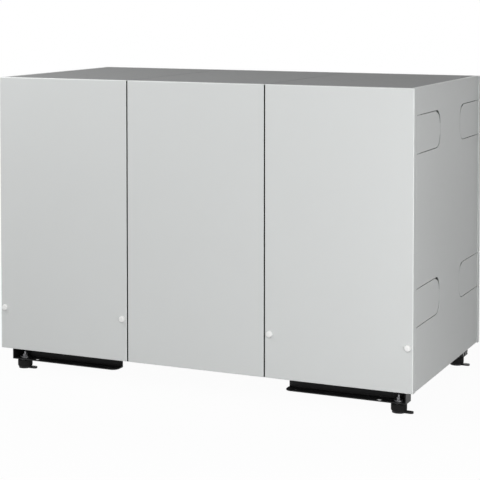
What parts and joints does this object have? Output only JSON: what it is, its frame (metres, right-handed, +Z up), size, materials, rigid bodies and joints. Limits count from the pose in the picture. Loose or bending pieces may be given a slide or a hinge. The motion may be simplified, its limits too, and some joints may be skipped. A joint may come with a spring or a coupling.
{
  "type": "ground source heat pump",
  "caption": "Floor-standing ground source heat pump in a three-bay sheet-steel cabinet with pull-off front panels, on vibration mounts, with its refrigerant circuit inside.",
  "frame": {"origin": "on the floor under the middle of the outside box", "axes": "+X to the right seen from the front, +Y to the back, +Z up"},
  "size_m": [1.356, 0.698, 0.921],
  "materials": {
    "casing_paint": "satin powder coat, light silver grey",
    "top_paint": "satin powder coat, mid grey",
    "base_paint": "semi-matt black coat",
    "galvanised": "galvanised sheet",
    "zinc": "zinc-plated fasteners",
    "dark_zinc": "dark zinc-plated foot studs",
    "rubber": "matt black rubber",
    "white_plastic": "satin white",
    "nylon": "natural nylon",
    "foam": "open-pored dark foam",
    "compressor_paint": "semi-gloss black",
    "stainless": "pressed stainless plate",
    "copper": "drawn copper tube",
    "brass": "machined brass",
    "line_foam": "closed-cell tube insulation",
    "drier_paint": "dark blue enamel",
    "grey_plastic": "moulded grey",
    "light_plastic": "moulded light grey",
    "red_plastic": "moulded red",
    "black_plastic": "moulded black",
    "cover_paint": "satin light grey"
  },
  "bodies": {
    "cabinet": {"back_panel_left": "casing_paint", "back_panel_middle": "casing_paint", "back_panel_right": "casing_paint", "base_cross_members": "base_paint", "brine_inlet_pipe": "stainless", "brine_outlet_pipe": "stainless", "cable_bushings": "rubber", "compressor_bolts": "zinc", "compressor_grommets": "rubber", "compressor_left": "compressor_paint", "compressor_right": "compressor_paint", "compressor_terminal_boxes": "black_plastic", "condenser": "stainless", "contactors": "light_plastic", "discharge_line": "copper", "electrical_box": "galvanised", "electrical_cover": "cover_paint", "evaporator": "stainless", "expansion_valve": "brass", "filter_drier": "drier_paint", "floor_pan_left": "galvanised", "floor_pan_middle": "galvanised", "floor_pan_right": "galvanised", "foot_plates": "base_paint", "foot_rubbers": "rubber", "foot_studs": "dark_zinc", "front_base_rail": "base_paint", "front_corner_posts": "galvanised", "front_mullions": "galvanised", "heating_flow_pipe": "stainless", "heating_return_pipe": "stainless", "injection_line": "copper", "liquid_line": "copper", "panel_catches": "nylon", "rear_base_rail": "base_paint", "rear_corner_posts": "galvanised", "rear_mullions": "galvanised", "side_panel_left": "casing_paint", "side_panel_right": "casing_paint", "sight_glass": "brass", "suction_line": "line_foam", "terminal_blocks": "grey_plastic", "top_panel_left": "top_paint", "top_panel_middle": "top_paint", "top_panel_right": "top_paint", "top_rails": "galvanised"},
    "panel_left": {"front_panel_left": "casing_paint", "panel_mat_left": "foam", "panel_studs_left": "zinc"},
    "panel_middle": {"front_panel_middle": "casing_paint", "panel_mat_middle": "foam", "panel_studs_middle": "zinc"},
    "panel_right": {"front_panel_right": "casing_paint", "panel_mat_right": "foam", "panel_studs_right": "zinc"},
    "lock_outer_left": {"panel_lock_outer_left": "white_plastic"},
    "lock_inner_left": {"panel_lock_inner_left": "white_plastic"},
    "lock_inner_right": {"panel_lock_inner_right": "white_plastic"},
    "lock_outer_right": {"panel_lock_outer_right": "white_plastic"},
    "switch": {"main_switch": "red_plastic"}
  },
  "joints": [
    {"name": "panel_left_pull", "type": "slide", "parent": "cabinet", "child": "panel_left", "axis": [0, -1, 0], "range_m": [0, 0.3]},
    {"name": "panel_middle_pull", "type": "slide", "parent": "cabinet", "child": "panel_middle", "axis": [0, -1, 0], "range_m": [0, 0.3]},
    {"name": "panel_right_pull", "type": "slide", "parent": "cabinet", "child": "panel_right", "axis": [0, -1, 0], "range_m": [0, 0.3]},
    {"name": "lock_outer_left_turn", "type": "hinge", "parent": "panel_left", "child": "lock_outer_left", "pos_m": [-0.66, -0.341, 0.197], "axis": [0, 1, 0], "range_deg": [0, 90]},
    {"name": "lock_inner_left_turn", "type": "hinge", "parent": "panel_left", "child": "lock_inner_left", "pos_m": [-0.242, -0.341, 0.197], "axis": [0, 1, 0], "range_deg": [0, 90]},
    {"name": "lock_inner_right_turn", "type": "hinge", "parent": "panel_right", "child": "lock_inner_right", "pos_m": [0.242, -0.341, 0.197], "axis": [0, 1, 0], "range_deg": [0, 90]},
    {"name": "lock_outer_right_turn", "type": "hinge", "parent": "panel_right", "child": "lock_outer_right", "pos_m": [0.66, -0.341, 0.197], "axis": [0, 1, 0], "range_deg": [0, 90]},
    {"name": "switch_turn", "type": "hinge", "parent": "cabinet", "child": "switch", "pos_m": [0.092, -0.285, 0.62], "axis": [0, 1, 0], "range_deg": [0, 90]}
  ]
}
